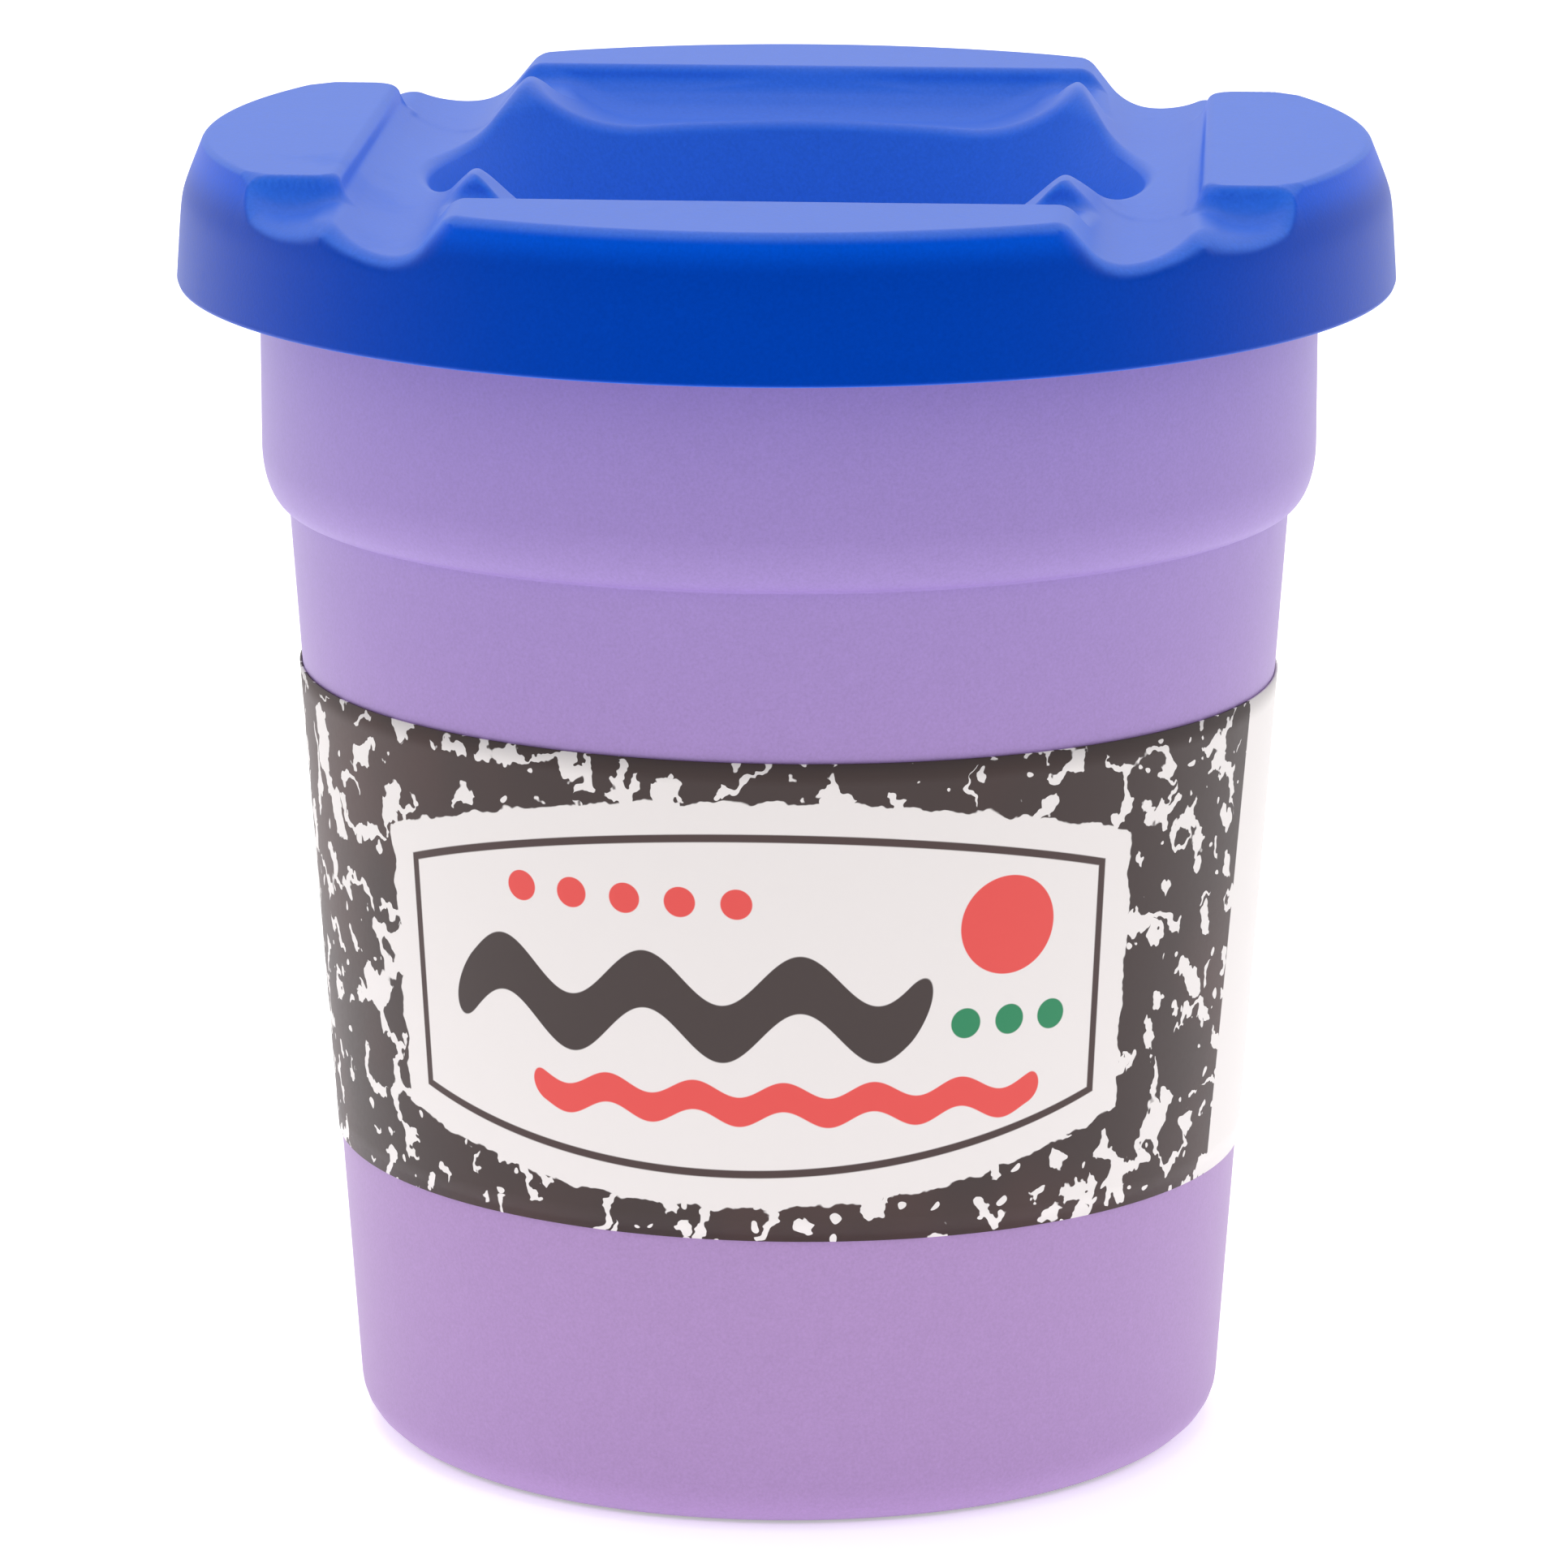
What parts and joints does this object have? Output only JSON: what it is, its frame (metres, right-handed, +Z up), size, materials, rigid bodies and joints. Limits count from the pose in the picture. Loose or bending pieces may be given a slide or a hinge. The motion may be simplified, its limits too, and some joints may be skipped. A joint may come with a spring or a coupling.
{
  "type": "paint cup with lid",
  "caption": "Round spill-proof cup for paint or water with a press-on lid that has a funnel mouth and channels for resting brushes.",
  "frame": {"origin": "middle of the foot, on the surface that the cup stands on", "axes": "+Z up along the cup's axis; the lid's brush channels run along Y and its side platforms lie on +X and -X; -Y is the front"},
  "size_m": [0.076, 0.076, 0.0824],
  "materials": {
    "cup_plastic": "satin moulded polypropylene, lilac",
    "label_paper": "satin coated paper with a black and white marbled print",
    "lid_plastic": "fine matte moulded polypropylene, blue"
  },
  "bodies": {
    "cup_body": {"cup": "cup_plastic", "label": "label_paper"},
    "lid_body": {"lid": "lid_plastic"}
  },
  "joints": [
    {"name": "lid_lift", "type": "slide", "parent": "cup_body", "child": "lid_body", "axis": [0, 0, 1], "range_m": [0, 0.04]}
  ]
}
